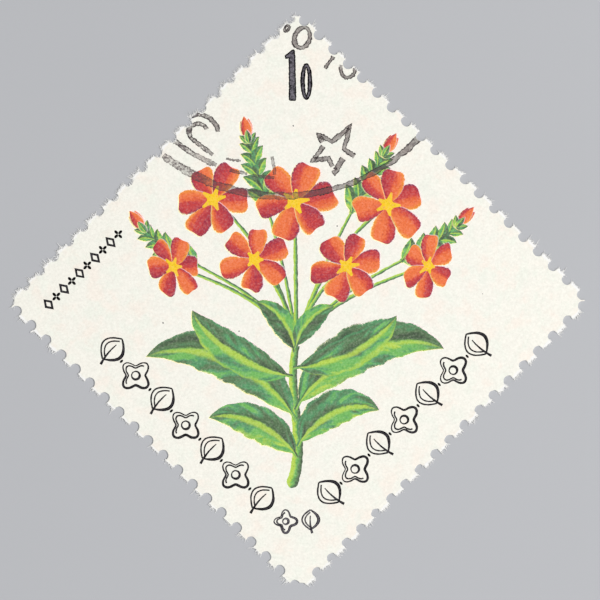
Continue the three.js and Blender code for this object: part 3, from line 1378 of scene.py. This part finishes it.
class STAMP_OT_postmark(StampOperator):
    """Stamp the postmark: its rings, its star and the marks beside them"""

    bl_idname = "stamp.postmark"
    bl_label = "Postmark"

    def execute(self, context):
        noise.seed_set(NOISE_SEED)
        context.view_layer.update()
        for name, maker in (("rings", self.rings), ("star", self.star), ("date", self.date)):
            film = maker()
            self.trim(film.bm)
            film.piece(f"postmark_{name}", "postmark_ink", "postmark_ink")
        return {"FINISHED"}

    def overhanging(self, bm):
        """The faces that reach past the edge of the paper."""
        sheet, down = bpy.data.objects["paper_sheet"], Vector((0, 0, -1))
        beside = {v for v in bm.verts if not sheet.ray_cast(v.co - down * SHEET_HIGH.z, down)[0]}
        return [face for face in bm.faces if beside.intersection(face.verts)]

    def trim(self, bm):
        """Cuts the ink off where the paper ends, in small steps."""
        crossing = set(self.overhanging(bm))
        edges = [edge for edge in bm.edges if crossing.intersection(edge.link_faces)]
        bmesh.ops.subdivide_edges(bm, edges=edges, cuts=TRIM_CUTS, use_grid_fill=True)
        bmesh.ops.delete(bm, geom=self.overhanging(bm), context="FACES")

    def stamped(self, film, points, half, closed, number, seed, sway=0.0):
        """A stamped line, given half its width in millimetres. Its first half is wider by a
        share of sway, and its second half narrower."""
        line = through(points, closed)

        def swell(a):
            spread = 1 + SWELL * noise.noise(Vector((*line(a)[0] / (SWELL_WAVE * MM), seed)))
            return (half + INK_SPREAD) * MM * (spread + sway * math.sin(math.tau * a))

        shaken = []
        for point in points:
            shake = noise.noise_vector((*point / (SHAKE_WAVE * MM), seed)).xy
            shaken.append(point + SHAKE * MM * shake)
        film.stroke(shaken, swell, closed, POSTMARK_LEVEL + number, half + INK_SPREAD,
                    INK_ROUGH * MM, seed)

    def rings(self):
        """The outer ring, and what took ink of the inner one."""
        mark = settings().postmark
        middle = at(*RING_MIDDLE)
        film = Film()
        outer = oval_arc(middle, mark.ring, mark.ring, *OUTER_STRETCH)
        self.stamped(film, outer, mark.line / 2 / MM, False, 0, 7, 0.18)
        radius = mark.ring - RING_GAP * MM
        for seed, (start, end, half) in enumerate(INNER_STRETCHES, 8):
            inner = oval_arc(middle, radius, radius, start, end)
            self.stamped(film, inner, half, False, 0, seed)
        return film

    def star(self):
        """An outlined star that the stamping left broken into stretches."""
        film = Film()
        corners = [at(*STAR) + heading(turn) * reach * MM for turn, reach in STAR_CORNERS]
        ring = through(corners, True)
        for seed, (stretch, half) in enumerate(STAR_STRETCHES, 20):
            row = dense([ring(place / len(corners))[0] for place in stretch])
            self.stamped(film, row, half, False, 0, seed)
        return film

    def date(self):
        """The small rings and the bars."""
        film = Film()
        for seed, (x, y, wide, tall, start, end, turn, half) in enumerate(MARKS):
            row = oval_arc(at(x, y), wide * MM, tall * MM, start, end, turn)
            self.stamped(film, row, half, end - start >= 360, 1, seed)
        for seed, (start, end, half) in enumerate(BARS, 30):
            self.stamped(film, dense([at(*start), at(*end)]), half, False, 2, seed)
        return film


# The specks: how many, how far from the middle of the stamp they may lie, and the least and the
# most half width, in millimetres.
SPECK_COUNT = 14
SPECK_SPAN = (-12, 12)
SPECK_SIZES = (0.03, 0.07)


class STAMP_OT_specks(StampOperator):
    """Scatter the few tiny specks of stray ink"""

    bl_idname = "stamp.specks"
    bl_label = "Ink Specks"

    def execute(self, context):
        film = Film()
        draw = random.Random(SEEDS["specks"])
        for _ in range(SPECK_COUNT):
            out, along = draw.uniform(*SPECK_SPAN), draw.uniform(*SPECK_SPAN)
            wide = draw.uniform(*SPECK_SIZES) * MM
            tall, turn = wide * draw.uniform(0.7, 1.3), draw.uniform(0, 180)
            film.oval(on_band(out, along, "upper_right"), wide, tall, turn, tone=1.0, steps=6)
        film.piece("ink_specks", "line_ink")
        return {"FINISHED"}


# ------------------------------------------------------------------------------- the stage

# Half the floor's width, and how far beneath the stamp it lies.
FLOOR_HALF, FLOOR_DROP = 0.6, 0.002 * MM

# The lights: name, place, size and power.
LIGHTS = (
    ("key_light", (0.52, 0.10, 0.45), 0.15, 3.40),
    ("fill_light", (-0.10, -0.40, 0.30), 0.40, 0.88),
)

# The tint and the strength of the light from all round.
ROOM_TINT, ROOM_STRENGTH = (0.97, 0.98, 1.0), 0.38

# How high the camera stands, and how near it still sees.
CAMERA_HEIGHT, CAMERA_NEAR = 0.12, 0.001


class STAMP_OT_stage(StampOperator):
    """Set up the floor, the light and the camera"""

    bl_idname = "stamp.stage"
    bl_label = "Stage"

    def execute(self, context):
        self.floor()
        for light in LIGHTS:
            self.light(*light)
        self.room(context.scene)
        context.scene.camera = self.camera()
        return {"FINISHED"}

    def floor(self):
        """The plain floor."""
        bm = bmesh.new()
        bmesh.ops.create_grid(bm, x_segments=4, y_segments=4, size=FLOOR_HALF)
        bmesh.ops.translate(bm, vec=(0, 0, -FLOOR_DROP), verts=bm.verts)
        mesh = bpy.data.meshes.new("floor")
        bm.to_mesh(mesh)
        bm.free()
        mesh.materials.append(finish_named("floor_board"))
        floor = bpy.data.objects.new("floor", mesh)
        bpy.context.collection.objects.link(floor)

    def room(self, scene):
        """Even light from all round, and colours that show as they were given."""
        world = bpy.data.worlds.new("room")
        world.use_nodes = True
        background = world.node_tree.nodes["Background"]
        background.inputs["Color"].default_value = (*ROOM_TINT, 1.0)
        background.inputs["Strength"].default_value = ROOM_STRENGTH
        scene.world = world
        scene.view_settings.view_transform = "Standard"

    def camera(self):
        """An orthographic camera that looks straight down on the stamp."""
        stage = settings().stage
        camera = bpy.data.objects.new("camera", bpy.data.cameras.new("camera"))
        camera.data.type = "ORTHO"
        camera.data.ortho_scale = stage.view_width
        camera.data.clip_start = CAMERA_NEAR
        camera.location = (stage.view_x, stage.view_y, CAMERA_HEIGHT)
        camera.rotation_euler = (0, 0, -stage.roll)
        bpy.context.collection.objects.link(camera)
        return camera

    def light(self, name, place, size, power):
        """One square soft light that faces the stamp."""
        data = bpy.data.lights.new(name, "AREA")
        data.size = size
        data.energy = power
        lamp = bpy.data.objects.new(name, data)
        lamp.location = place
        lamp.rotation_euler = (-Vector(place)).to_track_quat("-Z", "Y").to_euler()
        bpy.context.collection.objects.link(lamp)


# ------------------------------------------------------------------------------- the add-on

MAKERS = (
    STAMP_OT_stage, STAMP_OT_sheet, STAMP_OT_fibres, STAMP_OT_stems, STAMP_OT_leaves,
    STAMP_OT_sprigs, STAMP_OT_blooms, STAMP_OT_buds, STAMP_OT_borders, STAMP_OT_caption,
    STAMP_OT_value, STAMP_OT_postmark, STAMP_OT_specks,
)


class STAMP_PT_makers(bpy.types.Panel):
    """Lists the makers and the settings"""

    bl_idname = "STAMP_PT_makers"
    bl_label = "Perforated Stamp"
    bl_space_type = "VIEW_3D"
    bl_region_type = "UI"
    bl_category = "Stamp"

    def draw(self, context):
        for maker in MAKERS:
            self.layout.operator(maker.bl_idname)
        for group in (settings().sheet, settings().ink, settings().postmark, settings().stage):
            box = self.layout.box()
            for name in group.bl_rna.properties.keys():
                if name not in ("rna_type", "name"):
                    box.prop(group, name)


GROUPS = (SheetSettings, InkSettings, PostmarkSettings, StageSettings, StampSettings)


def register():
    for cls in (*GROUPS, *MAKERS, STAMP_PT_makers):
        bpy.utils.register_class(cls)
    bpy.types.Scene.stamp = bpy.props.PointerProperty(type=StampSettings)


def unregister():
    del bpy.types.Scene.stamp
    for cls in reversed((*GROUPS, *MAKERS, STAMP_PT_makers)):
        bpy.utils.unregister_class(cls)


def main():
    """Makes every piece in order."""
    register()
    for maker in MAKERS:
        group, name = maker.bl_idname.split(".")
        getattr(getattr(bpy.ops, group), name)()


if __name__ == "__main__":
    main()
